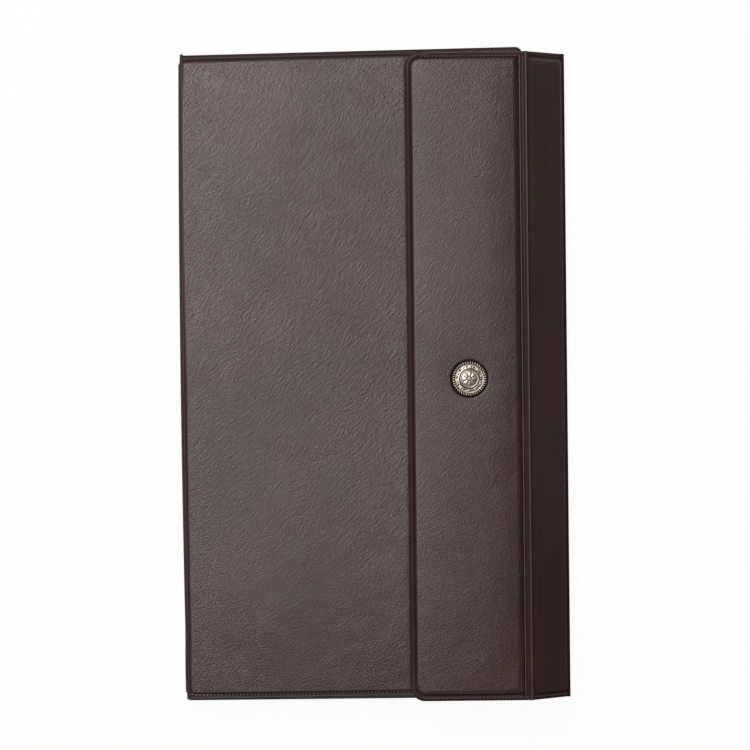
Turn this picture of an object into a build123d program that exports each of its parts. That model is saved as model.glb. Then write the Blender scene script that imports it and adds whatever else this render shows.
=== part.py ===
from build123d import *
import os

# Padded checkbook cover, closed, lying on its back.
# +X runs from the spine to the gusset, +Y up the long side, +Z out of the front.
# Five welded panels follow one another round the book: back, spine, front, gusset and flap.
# The origin is at the middle of the footprint, on the surface that the cover lies on.

# Driving dimensions in millimetres
cover_length = 222.5
cover_width = 134.0
front_setback = 0.6
front_to_ridge = 0.7
gusset_run = 13.5
flap_reach = 41.3
book_space = 4.5
flap_gap = 1.2

# Sheet and filling thicknesses
skin = 0.5
lining = 0.4
back_stiffness = 1.2
strip_stiffness = 0.5
front_stiffness = 1.0
front_padding = 1.4
flap_stiffness = 0.8
flap_padding = 1.3
pocket_sheet = 0.4

# Padding: how far the middle stands above the long sides and above the ends, and the rolled edge
front_crown = 0.7
flap_crown = 0.9
end_crown = 0.35
crown_overrun = 2.0
padded_roll = 1.1
flat_draft = 20.0

# Welds, folds and corners
weld_border = 2.1
strip_weld = 1.3
spine_weld = 0.5
fold_radius = 0.6
fold_clearance = 0.1
mitre_clearance = 0.2
ply_clearance = 0.15
board_clearance = 0.5
fold_corner = 0.5
front_free_corner = 2.7
flap_free_corner = 4.8
pad_corner = 1.5
flap_pad_corner = 3.4

# Pockets inside the two covers
back_pocket_margin = 7.0
back_pocket_depth = 150.0
front_pocket_margin = 5.0
front_pocket_depth = 55.0
thumb_notch = 14.0

# Press snap, all parts round one axis
snap_from_fold = 20.3
snap_below_middle = 0.9
snap_stack = 2.45
snap_play = 0.1
snap_flange = 0.3
dish_radius = 9.0
cap_radius = 6.25
cap_rim = 1.2
cap_dome = 2.0
cap_sink = 0.9
medallion_radius = 3.25
rope_radius = 5.8
rope_strands = 60
strand_length = 0.7
strand_width = 0.32
strand_height = 0.3
strand_lay = 40.0
rivet_radius = 1.6
rivet_flare = 0.5
rivet_wall = 0.4
socket_radius = 5.4
socket_drum = 4.5
spring_wire = 0.2
stud_radius = 4.4
stud_head = 2.5
stud_neck = 2.15
stud_height = 1.75
eyelet_radius = 4.2

# A panel's welding plane runs through the middle of its welded border
half_web = (skin + lining) / 2
seam = lining - half_web
fold_seat = fold_radius + fold_clearance


def rise(board, foam):
    """Height of a panel's outer face above its welding plane."""
    return seam + board + foam + ply_clearance + skin


# Fold lines, all along Y
back_level = rise(back_stiffness, 0)
back_inside = back_level + half_web
front_level = back_inside + 2 * pocket_sheet + book_space + half_web
front_top = front_level + rise(front_stiffness, front_padding)
flap_level = front_top + flap_gap + half_web
spine_x = rise(strip_stiffness, 0) - cover_width / 2
gusset_x = cover_width / 2 - fold_radius
flap_x = gusset_x - gusset_run
front_width = flap_x - front_to_ridge - spine_x
gusset_slope = Vector(flap_x - gusset_x, 0, flap_level - back_level)
slope = gusset_slope.normalized()

# Panel planes: local x runs from the fold line across the panel, local z points outward
back_plane = Plane((spine_x, 0, back_level), x_dir=(1, 0, 0), z_dir=(0, 0, -1))
spine_plane = Plane((spine_x, 0, back_level), x_dir=(0, 0, 1), z_dir=(-1, 0, 0))
front_plane = Plane((spine_x, 0, front_level), x_dir=(1, 0, 0), z_dir=(0, 0, 1))
gusset_plane = Plane((gusset_x, 0, back_level), x_dir=slope, z_dir=(slope.Z, 0, -slope.X))
flap_plane = Plane((flap_x, 0, flap_level), x_dir=(-1, 0, 0), z_dir=(0, 0, 1))

# Snap axis, and the heights that its parts seat at
snap_x = flap_x - snap_from_fold
snap_y = -snap_below_middle
cap_seat = flap_level + rise(flap_stiffness, flap_padding) - cap_sink
socket_seat = flap_level - half_web
stud_seat = socket_seat - snap_stack
eyelet_seat = front_level + seam
rivet_bore = rivet_radius + snap_play
stud_dish = front_top - stud_seat


def rounded(x0, x1, length, fold_side, free_side):
    """Outline from x0 to x1, with one corner radius on its fold side and one on its free side."""
    outline = Pos((x0 + x1) / 2, 0) * Rectangle(x1 - x0, length)
    outline = fillet(outline.vertices().group_by(Axis.X)[0], fold_side)
    return fillet(outline.vertices().group_by(Axis.X)[-1], free_side)


def sheet(area, corners, bottom, thickness, draft=0):
    """Even sheet over an area (x0, x1, length), from the height bottom upward."""
    return Pos(0, 0, bottom) * extrude(rounded(*area, *corners), amount=thickness, taper=draft)


def inset(area, margin):
    """The same area, drawn in all round."""
    x0, x1, length = area
    return (x0 + margin, x1 - margin, length - 2 * margin)


def cushion(area, corners, height, crown, roll):
    """Padded form on the seam, crowned across and along, with a rolled rim."""
    x0, x1, length = area
    spring = (x1 - x0) / 2 + crown_overrun
    fall = crown * (spring / (spring - crown_overrun)) ** 2
    sections = []
    for end in (-1, 0, 1):
        middle = seam + height - abs(end) * end_crown
        feet = ((-spring, -height), (spring, -height))
        walls = Polyline((-spring, middle - fall), *feet, (spring, middle - fall))
        arch = ThreePointArc((-spring, middle - fall), (0, middle), (spring, middle - fall))
        station = ((x0 + x1) / 2, end * (length / 2 + crown_overrun), 0)
        sections.append(make_face(Plane(station, x_dir=(1, 0, 0), z_dir=(0, -1, 0)) * (walls + arch)))
    block = sheet(area, corners, seam, height) & loft(sections)
    top = block.faces().sort_by(Axis.Z)[-1]
    return fillet(top.edges(), roll)


def turned(level, *points):
    """Ring or disc turned round the snap's axis, from (radius, height) points above a level."""
    profile = make_face(Plane.XZ * Polyline(*points, close=True))
    return Pos(snap_x, snap_y, level) * revolve(profile, axis=Axis.Z)


def snap_bore(radius):
    """Hole on the snap's axis, through every ply."""
    return Pos(snap_x, snap_y, flap_level) * Cylinder(radius, 6 * flap_level)


def snap_dish(seat, floor, depth, ply):
    """Bowl that a snap part presses in the padding, at a ply's depth under the outer face."""
    pitch = depth / (dish_radius - floor)
    floor_radius = floor + ply * ((1 + pitch**2) ** 0.5 - 1) / pitch
    height = 3 * depth
    standing = (Align.CENTER, Align.CENTER, Align.MIN)
    bowl = Cone(floor_radius, floor_radius + height / pitch, height, align=standing)
    return Pos(snap_x, snap_y, seat - ply) * bowl


class Panel:
    """Skin, board, foam and lining over one flange area, welded together round their border."""

    def __init__(self, plane, flange, pad, board, foam=0, crown=0, corners=None, pad_corners=None):
        self.place = plane.location
        self.flange = flange
        self.pad = pad
        self.board = board
        self.foam = foam
        self.crown = crown
        self.corners = corners or (fold_corner, fold_corner)
        self.pad_corners = pad_corners or (pad_corner, pad_corner)

    def form(self, ply):
        """Raised form at a ply's depth under its outer face: drafted over a board, crowned over foam."""
        area = inset(self.pad, ply)
        height = rise(self.board, self.foam) - seam - ply
        corners = [corner - ply / 2 for corner in self.pad_corners]
        if self.foam:
            return cushion(area, corners, height, self.crown, padded_roll - ply / 2)
        return sheet(area, corners, seam, height, flat_draft)

    def skin(self, dish=None):
        """Outer sheet, with its raised form and its flat border; dish is (seat, floor, depth)."""
        border = sheet(self.flange, self.corners, seam, skin)
        shell = self.place * (border + self.form(0))
        hollow = self.place * self.form(skin)
        if dish:
            shell -= snap_dish(*dish, 0)
            hollow -= snap_dish(*dish, skin)
        return shell - hollow

    def stiffener(self):
        """Board on the lining."""
        area = inset(self.pad, skin + board_clearance)
        corners = [corner - skin / 2 for corner in self.pad_corners]
        return self.place * sheet(area, corners, seam, self.board)

    def padding(self, dish):
        """Foam between the board and the skin, pressed down round the snap."""
        under_board = sheet(self.pad, self.pad_corners, -self.board, seam + 2 * self.board)
        foam = self.form(skin + ply_clearance) - under_board
        return self.place * foam - snap_dish(*dish, skin + ply_clearance)

    def lining(self):
        """Inner sheet, flat from border to border."""
        return self.place * sheet(self.flange, self.corners, -half_web, lining)

    def pocket(self, area, shift, notch_at):
        """Flat pocket sheet on the lining, with a thumb notch in its mouth."""
        corners = (pad_corner, pad_corner)
        plain = Pos(0, shift, 0) * sheet(area, corners, -half_web - pocket_sheet, pocket_sheet)
        notch = Pos(*notch_at, -half_web) * Cylinder(thumb_notch, 4 * pocket_sheet)
        return self.place * (plain - notch)


parts = {}

# Back cover: a flat stiff panel that the whole cover lies on
back_span = gusset_x - spine_x
back_area = (fold_seat, back_span - fold_seat, cover_length)
back = Panel(
    back_plane,
    back_area,
    (weld_border, back_span - weld_border, cover_length - 2 * weld_border),
    back_stiffness,
)
parts["back_skin"] = back.skin()
parts["back_board"] = back.stiffener()
parts["back_lining"] = back.lining()

# Back pocket: takes the book's last leaf, and opens towards the top
pocket_area = (back_pocket_margin, back_span - back_pocket_margin, back_pocket_depth)
pocket_shift = back.pad[2] / 2 - back_pocket_depth / 2
pocket_mouth = pocket_shift - back_pocket_depth / 2
parts["back_pocket"] = back.pocket(pocket_area, pocket_shift, (back_span / 2, pocket_mouth))

# Spine: a narrow stiffened strip between two folds
spine_span = front_level - back_level
spine = Panel(
    spine_plane,
    (fold_seat, spine_span - fold_seat, cover_length),
    (fold_seat + spine_weld, spine_span - fold_seat - spine_weld, cover_length - 2 * weld_border),
    strip_stiffness,
    pad_corners=(fold_corner, fold_corner),
)
parts["spine_skin"] = spine.skin()
parts["spine_board"] = spine.stiffener()
parts["spine_lining"] = spine.lining()

# Front cover: padded, and carries the snap's stud
front_length = cover_length - 2 * front_setback
front = Panel(
    front_plane,
    (fold_seat, front_width, front_length),
    (fold_seat + spine_weld, front_width - weld_border, front_length - 2 * weld_border),
    front_stiffness,
    front_padding,
    front_crown,
    corners=(fold_corner, front_free_corner),
)
front_dish = (stud_seat, stud_radius + snap_play, stud_dish)
parts["front_skin"] = front.skin(front_dish) - snap_bore(rivet_bore)
parts["front_foam"] = front.padding(front_dish) - snap_bore(rivet_bore)
eyelet_recess = turned(
    eyelet_seat,
    (0, 0),
    (eyelet_radius + snap_play, 0),
    (eyelet_radius + snap_play, snap_flange),
    (0, snap_flange),
)
parts["front_board"] = front.stiffener() - snap_bore(rivet_bore) - eyelet_recess
parts["front_lining"] = front.lining()

# Front pocket: along the free edge, and opens towards the spine
front_mouth = front_width - front_pocket_margin - front_pocket_depth
front_pocket_length = front_length - 2 * front_pocket_margin
front_pocket_area = (front_mouth, front_width - front_pocket_margin, front_pocket_length)
parts["front_pocket"] = front.pocket(front_pocket_area, 0, (front_mouth, 0))

# Gusset: the sloping strip between back and flap, mitred where it meets the back's lining
gusset_span = gusset_slope.length
gusset = Panel(
    gusset_plane,
    (fold_seat, gusset_span - fold_seat, cover_length),
    (fold_seat + strip_weld, gusset_span - fold_seat - strip_weld, cover_length - 2 * weld_border),
    strip_stiffness,
)
mitre = Pos(gusset_x, 0, back_inside + mitre_clearance) * Box(
    2 * gusset_span, 2 * cover_length, gusset_span, align=(Align.CENTER, Align.CENTER, Align.MAX)
)
parts["gusset_skin"] = gusset.skin() - mitre
parts["gusset_board"] = gusset.stiffener() - mitre
parts["gusset_lining"] = gusset.lining() - mitre

# Flap: padded, closes over the front, and carries the snap's cap and socket
flap = Panel(
    flap_plane,
    (fold_seat, flap_reach, cover_length),
    (fold_seat + weld_border, flap_reach - weld_border, cover_length - 2 * weld_border),
    flap_stiffness,
    flap_padding,
    flap_crown,
    corners=(fold_corner, flap_free_corner),
    pad_corners=(pad_corner, flap_pad_corner),
)
flap_dish = (cap_seat, cap_radius + snap_play, cap_sink)
parts["flap_skin"] = flap.skin(flap_dish) - snap_bore(rivet_bore)
parts["flap_foam"] = flap.padding(flap_dish) - snap_bore(rivet_bore)
parts["flap_board"] = flap.stiffener() - snap_bore(rivet_bore)
parts["flap_lining"] = flap.lining() - snap_bore(rivet_bore)


def fold(axis_x, axis_z, length):
    """Rounded weld where two panels bend, on their hinge line."""
    return Pos(axis_x, 0, axis_z) * Rot(90, 0, 0) * Cylinder(fold_radius, length)


# Folds: each belongs to the panel that it is named after first
parts["back_spine_fold"] = fold(spine_x, back_level, cover_length)
parts["front_spine_fold"] = fold(spine_x, front_level, front_length)
parts["back_gusset_fold"] = fold(gusset_x, back_level, cover_length)
parts["flap_gusset_fold"] = fold(flap_x, flap_level, cover_length)

# Snap cap: a domed medallion in a flat band, with a rope of slanted strands round the rim
channel = cap_rim - strand_height
band = (channel + cap_rim) / 2
rope_inside = rope_radius - strand_length / 2 - snap_play
rivet_top = channel / 2
cap_side = Polyline(
    (0, cap_dome),
    (0, rivet_top),
    (rivet_bore, rivet_top),
    (rivet_bore, 0),
    (cap_radius - snap_flange, 0),
    (cap_radius, snap_flange),
    (cap_radius, channel),
    (rope_inside, channel),
    (rope_inside, band),
    (medallion_radius + snap_flange, band),
    (medallion_radius, channel),
    (medallion_radius, cap_rim),
)
dome = TangentArc((0, cap_dome), (medallion_radius, cap_rim), tangent=(1, 0))
cap = revolve(make_face(Plane.XZ * (cap_side + dome)), axis=Axis.Z)
strand = Box(strand_length, strand_width, strand_height, align=(Align.CENTER, Align.CENTER, Align.MIN))
for spot in PolarLocations(rope_radius, rope_strands):
    cap += Pos(0, 0, channel) * spot * Rot(0, 0, strand_lay) * strand
parts["snap_cap"] = Pos(snap_x, snap_y, cap_seat) * cap

# Rivet: holds the cap and the socket together through the flap
rivet_end = snap_flange + rivet_wall
parts["snap_rivet"] = turned(
    socket_seat,
    (0, cap_seat + rivet_top - socket_seat),
    (rivet_radius, cap_seat + rivet_top - socket_seat),
    (rivet_radius, -snap_flange),
    (rivet_radius + rivet_flare, -snap_flange),
    (rivet_radius + rivet_flare / 2, -rivet_end),
    (0, -rivet_end),
)

# Socket: a pressed drum whose groove holds the spring
socket_depth = snap_stack - snap_flange - snap_play
socket_mouth = stud_head + 2 * snap_play
groove_radius = socket_mouth + 2 * spring_wire
spring_level = socket_depth - 2 * spring_wire
parts["snap_socket"] = turned(
    socket_seat,
    (rivet_bore, 0),
    (socket_radius, 0),
    (socket_radius, -snap_flange),
    (socket_drum, -2 * snap_flange),
    (socket_drum, -socket_depth + snap_flange),
    (socket_drum - snap_flange, -socket_depth),
    (socket_mouth, -socket_depth),
    (socket_mouth, -spring_level - 1.5 * spring_wire),
    (groove_radius, -spring_level - 1.5 * spring_wire),
    (groove_radius, -spring_level + 1.5 * spring_wire),
    (socket_mouth, -spring_level + 1.5 * spring_wire),
    (socket_mouth, -snap_flange),
    (rivet_bore, -snap_flange),
)

# Spring: an open wire ring in the groove, which grips the stud's neck
spring_radius = stud_neck + snap_play + spring_wire
wire = Plane.XZ * Pos(spring_radius, 0) * RegularPolygon(spring_wire, 6)
ring = revolve(wire, axis=Axis.Z)
ring_gap = Pos(spring_radius, 0, 0) * Box(spring_radius, 4 * spring_wire, 4 * spring_wire)
parts["snap_spring"] = Pos(snap_x, snap_y, socket_seat - spring_level) * (ring - ring_gap)

# Stud: its head stands in the socket
neck_top = stud_height - 3 * spring_wire
parts["snap_stud"] = turned(
    stud_seat,
    (rivet_bore, 0),
    (stud_radius, 0),
    (stud_radius, snap_flange - snap_play),
    (stud_neck + snap_flange, snap_flange),
    (stud_neck, 2 * snap_flange),
    (stud_neck, neck_top - spring_wire),
    (stud_head, neck_top),
    (stud_head, stud_height - spring_wire),
    (stud_head - spring_wire, stud_height),
    (rivet_bore, stud_height),
)

# Eyelet: clamps the stud through the board, under the lining
eyelet_top = stud_seat + stud_height - eyelet_seat
parts["snap_eyelet"] = turned(
    eyelet_seat,
    (rivet_radius - rivet_wall, 0),
    (eyelet_radius, 0),
    (eyelet_radius, snap_flange),
    (rivet_radius, snap_flange),
    (rivet_radius, eyelet_top),
    (rivet_radius - rivet_wall, eyelet_top),
)

os.makedirs("parts", exist_ok=True)
for name, solid in parts.items():
    export_step(solid, os.path.join("parts", name + ".step"))
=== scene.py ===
import math
import bmesh
import bpy
import numpy as np
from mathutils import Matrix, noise


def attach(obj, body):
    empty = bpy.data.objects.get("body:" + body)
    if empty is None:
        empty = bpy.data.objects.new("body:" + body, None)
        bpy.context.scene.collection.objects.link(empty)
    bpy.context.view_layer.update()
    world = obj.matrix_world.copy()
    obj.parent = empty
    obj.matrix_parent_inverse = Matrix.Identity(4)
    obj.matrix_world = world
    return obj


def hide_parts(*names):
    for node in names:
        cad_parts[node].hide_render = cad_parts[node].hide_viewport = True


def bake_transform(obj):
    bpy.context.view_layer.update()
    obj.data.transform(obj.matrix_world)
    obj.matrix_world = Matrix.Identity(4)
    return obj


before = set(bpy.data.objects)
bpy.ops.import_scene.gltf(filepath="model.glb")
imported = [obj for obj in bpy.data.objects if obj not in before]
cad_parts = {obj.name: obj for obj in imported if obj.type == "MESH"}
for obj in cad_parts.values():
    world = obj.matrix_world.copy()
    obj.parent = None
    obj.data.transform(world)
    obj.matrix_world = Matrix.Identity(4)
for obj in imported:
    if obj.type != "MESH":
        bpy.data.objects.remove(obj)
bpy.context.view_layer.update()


# The table and the light.
# The cover lies closed on a white table, under one wide soft lamp up to the left,
# and the camera looks straight down on it, turned by a little over half a degree.

bpy.ops.mesh.primitive_plane_add(size=6, location=(0, 0, -0.0002))
table = bpy.context.object
table.name = "table"


def add(tree, kind, inputs=None, **settings):
    """A node with its settings, its values and what is wired into it."""
    made = tree.nodes.new(kind)
    for key, value in settings.items():
        setattr(made, key, value)
    for key, value in (inputs or {}).items():
        if isinstance(value, bpy.types.NodeSocket):
            tree.links.new(value, made.inputs[key])
        else:
            made.inputs[key].default_value = value
    return made


def maths(tree, operation, *values):
    """The result of a math node on sockets and numbers."""
    return add(tree, "ShaderNodeMath", dict(enumerate(values)), operation=operation).outputs[0]


def finish_named(name):
    """An empty material, and its node tree."""
    material = bpy.data.materials.new(name)
    material.use_nodes = True
    material.node_tree.nodes.clear()
    return material, material.node_tree


def placed(name, data):
    """A new object of the scene."""
    made = bpy.data.objects.new(name, data)
    bpy.context.collection.objects.link(made)
    return made


# What the camera and mirrors see of the table is nearly pure white, as in a photographer's tent.
table_glow = 0.95
white_table, tree = finish_named("white table")
rays = add(tree, "ShaderNodeLightPath").outputs
seen = maths(tree, "ADD", rays["Is Camera Ray"], rays["Is Glossy Ray"])
seen = maths(tree, "ADD", seen, rays["Is Transmission Ray"])
share = maths(tree, "MULTIPLY", seen, table_glow)
paper = add(tree, "ShaderNodeBsdfDiffuse", {"Color": (0.86, 0.86, 0.86, 1)})
glow = add(tree, "ShaderNodeEmission", {"Color": (1, 1, 1, 1), "Strength": 1.0})
both = add(tree, "ShaderNodeMixShader", {0: share, 1: paper.outputs[0], 2: glow.outputs[0]})
add(tree, "ShaderNodeOutputMaterial", {"Surface": both.outputs[0]})
table.data.materials.append(white_table)

room = bpy.data.worlds.new("room")
room.use_nodes = True
room.node_tree.nodes["Background"].inputs["Color"].default_value = (0.93, 0.96, 1.0, 1)
room.node_tree.nodes["Background"].inputs["Strength"].default_value = 0.05
bpy.context.scene.world = room


window = bpy.data.lights.new("window_lamp", "AREA")
window.shape = "SQUARE"
window.size = 1.05
window.energy = 15.6
window.color = (0.98, 0.985, 1.0)
lamp = placed("window_lamp", window)
lamp.location = (-0.48, 0.41, 0.90)
lamp.rotation_euler = (-lamp.location).to_track_quat("-Z", "Y").to_euler()

eye = bpy.data.cameras.new("camera")
eye.sensor_width = 36
eye.lens = 138.29
camera = placed("camera", eye)
camera.location = (0.0003, 0.00075, 1.0)
camera.rotation_euler = (0, 0, math.radians(-0.6))
bpy.context.scene.camera = camera
bpy.context.scene.view_settings.view_transform = "Standard"


# Back cover.
# A flat board between a leatherette skin and a smooth lining, welded together round the border.
# The whole cover lies on this skin. The die that welds it leaves a groove and a low bead.

spine_x = -65.9
low_hinge_z = 1.8
length = 222.5
half_length = length / 2
raised_length = 218.3
front_length = 221.3
front_half_length = front_length / 2
foot_level = -0.05


def rows(low, high, fine, coarse):
    """Places of the mesh rows from low to high, closer in each (start, end, step) of fine."""
    places = [low]
    while places[-1] < high:
        at = places[-1] + 1e-6
        steps = [step for start, end, step in fine if start <= at < end]
        places.append(at + min(steps + [coarse]))
    places = np.array(places)
    return low + (places - low) * (high - low) / (places[-1] - low)


def depth_in(x, y, area, corners):
    """How far each point lies inside an outline with rounded corners, negative outside it."""
    x0, x1, length = area
    r = np.where(x > (x0 + x1) / 2, corners[1], corners[0])
    u = np.abs(x - (x0 + x1) / 2) - (x1 - x0) / 2 + r
    v = np.abs(y) - length / 2 + r
    return r - np.hypot(np.maximum(u, 0), np.maximum(v, 0)) - np.minimum(np.maximum(u, v), 0)


def round_corners(x, y, area, corners):
    """The same mesh rows, drawn in at the corners to follow their arcs."""
    x0, x1, length = area
    for side, middle, r in ((-1, x0 + corners[0], corners[0]), (1, x1 - corners[1], corners[1])):
        for end in (-1, 1):
            u = (x - middle) * side
            v = (y - end * (length / 2 - r)) * end
            share = np.where((u > 0) & (v > 0), np.maximum(u, v) / np.maximum(np.hypot(u, v), 1e-9), 1)
            x = np.where((u > 0) & (v > 0), middle + side * u * share, x)
            y = np.where((u > 0) & (v > 0), end * (length / 2 - r) + end * v * share, y)
    return x, y


def ripple(x, y, long, seed):
    """Slow, even unevenness from -1 to 1, as a sheet has that isn't stretched flat."""
    flat = zip(x.ravel() / long, y.ravel() / (1.4 * long))
    return np.array([noise.noise((a, b, seed)) for a, b in flat]).reshape(x.shape)


def smooth(value):
    """Eases from 0 to 1."""
    value = np.clip(value, 0, 1)
    return value * value * (3 - 2 * value)


class Leaf:
    """One panel of the cover: a fold line, the way across from it, and the way out."""

    def __init__(self, fold, across, outward):
        self.fold = np.array(fold)
        self.across = np.array(across)
        self.outward = np.array(outward)
        self.turn = np.cross(self.across, (0, 1, 0)) @ self.outward

    def put(self, x, y, z):
        """World points in millimetres for places on the leaf."""
        side = self.fold + np.multiply.outer(x, self.across) + np.multiply.outer(z, self.outward)
        return side + np.multiply.outer(y, np.array((0.0, 1.0, 0.0)))


def slip(across, y):
    """How far the front lies up along the book, at a distance across from the spine."""
    s = across / 103
    return 0.755 + 1.11 * s + (0.5 * s + 0.015) * y / front_half_length


def settle(points, raised):
    """Lays the soft cover as it lies in use, with its spine side pressed in at the ends.
    raised pieces, the spine and the front, also lie a little up along the book. The front's
    padding bulges out over its weld, and its bottom wall has a foot that covers the board."""
    x, y, z = points[..., 0], points[..., 1], points[..., 2]
    v = y / front_half_length
    spine_side = 1 - smooth((x + 67) / 17)
    high = smooth((z - 2.3) / 5.0) if raised else 0
    bulge = smooth((z - 8.65) / 1.1) if raised else 0
    pressed = 0.14 - 0.365 * v + 0.765 * v**2 - high * 0.42 * smooth((-y - 84) / 20)
    swell = np.clip(0.5 + 1.2 * v, 0.45, 1.3 - 0.4 * smooth((y - 92) / 12))
    foot = high * (1 - smooth((z - 8.95) / 0.8)) * smooth((x + 60) / 10)
    moved = points.copy()
    moved[..., 0] += spine_side * pressed - bulge * (1 - smooth((x + 64.2) / 13)) * swell
    moved[..., 1] += high * slip(x - spine_x, y) - bulge * 0.75 * smooth((-y - 101) / 7)
    moved[..., 1] -= 0.5 * foot * smooth((-y - 106) / 2) * (1 - smooth((-y - 108.9) / 0.8))
    return moved


def set_mark(mesh, name, values):
    """Gives each point of a mesh a value that its material reads."""
    layer = mesh.attributes.new(name, "FLOAT", "POINT")
    layer.data.foreach_set("value", values.astype(np.float32))


def closed_sheet(name, leaf, area, corners, surface, base, fine, coarse, raised=False, laid=None):
    """A sheet whose shown face follows surface(x, y) and whose other face lies flat at base.
    The flat face is made of strips across the sheet, or in one where laid bends the rim."""
    fine_x, fine_y = fine
    xs = rows(area[0], area[1], fine_x, coarse[0])
    ys = rows(-area[2] / 2, area[2] / 2, fine_y, coarse[1])
    x, y = np.meshgrid(xs, ys, indexing="ij")
    x, y = round_corners(x, y, area, corners)
    if laid is not None:
        x, y = laid(x, y)
    z, marks = surface(x, y)
    top = leaf.put(x, y, z).reshape(-1, 3)
    m, n = x.shape
    rim = [(i, 0) for i in range(m - 1)] + [(m - 1, j) for j in range(n - 1)]
    rim += [(i, n - 1) for i in range(m - 1, 0, -1)] + [(0, j) for j in range(n - 1, 0, -1)]
    rim = [i * n + j for i, j in rim]
    foot = leaf.put(x.ravel()[rim], y.ravel()[rim], np.full(len(rim), base))
    points = np.vstack((top, foot))
    if raised is not None:
        points = settle(points, raised)
    i, j = np.meshgrid(np.arange(m - 1), np.arange(n - 1), indexing="ij")
    a = (i * n + j).ravel()
    faces = np.stack((a, a + n, a + n + 1, a + 1), axis=1).tolist()
    count = m * n
    for k, start in enumerate(rim):
        after = (k + 1) % len(rim)
        faces.append((count + k, count + after, rim[after], start))
    last = len(rim)
    base_faces = [range(last)]
    if laid is None:
        base_faces = [[m - 1 + j, m + j, last - j - 1, last - j] for j in range(1, n - 2)]
        base_faces += [[*range(m + 1), last - 1], range(m + n - 3, 2 * m + n - 1)]
    faces += [tuple(count + k for k in reversed(corners_of_face)) for corners_of_face in base_faces]
    if (leaf.turn > 0) != (float(np.mean(z)) > base):
        faces = [tuple(reversed(face)) for face in faces]
    mesh = bpy.data.meshes.new(name)
    mesh.from_pydata((points / 1000).tolist(), [], faces)
    for mark, values in marks.items():
        set_mark(mesh, mark, np.concatenate((values.ravel(), values.ravel()[rim])))
    mesh.shade_smooth()
    mesh.set_sharp_from_angle(angle=math.radians(50))
    return placed(name, mesh)


def remap(tree, value, source, target=(0.0, 1.0), **settings):
    """The result of a map range node, which takes the source range to the target range."""
    ranges = {"From Min": source[0], "From Max": source[1], "To Min": target[0], "To Max": target[1]}
    return add(tree, "ShaderNodeMapRange", {"Value": value, **ranges}, **settings).outputs[0]


def cloud(tree, place, scale, detail, **more):
    """Noise from 0 to 1 at a place."""
    values = {"Vector": place, "Scale": scale, "Detail": detail, **more}
    return add(tree, "ShaderNodeTexNoise", values).outputs["Fac"]


def mixed(tree, share, first, second):
    """A colour between two others."""
    return add(tree, "ShaderNodeMix", {"Factor": share, 6: first, 7: second}, data_type="RGBA").outputs[2]


def scaled(tree, vector, factor):
    """A vector or colour times a factor."""
    return add(tree, "ShaderNodeVectorMath", {0: vector, "Scale": factor}, operation="SCALE").outputs[0]


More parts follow.
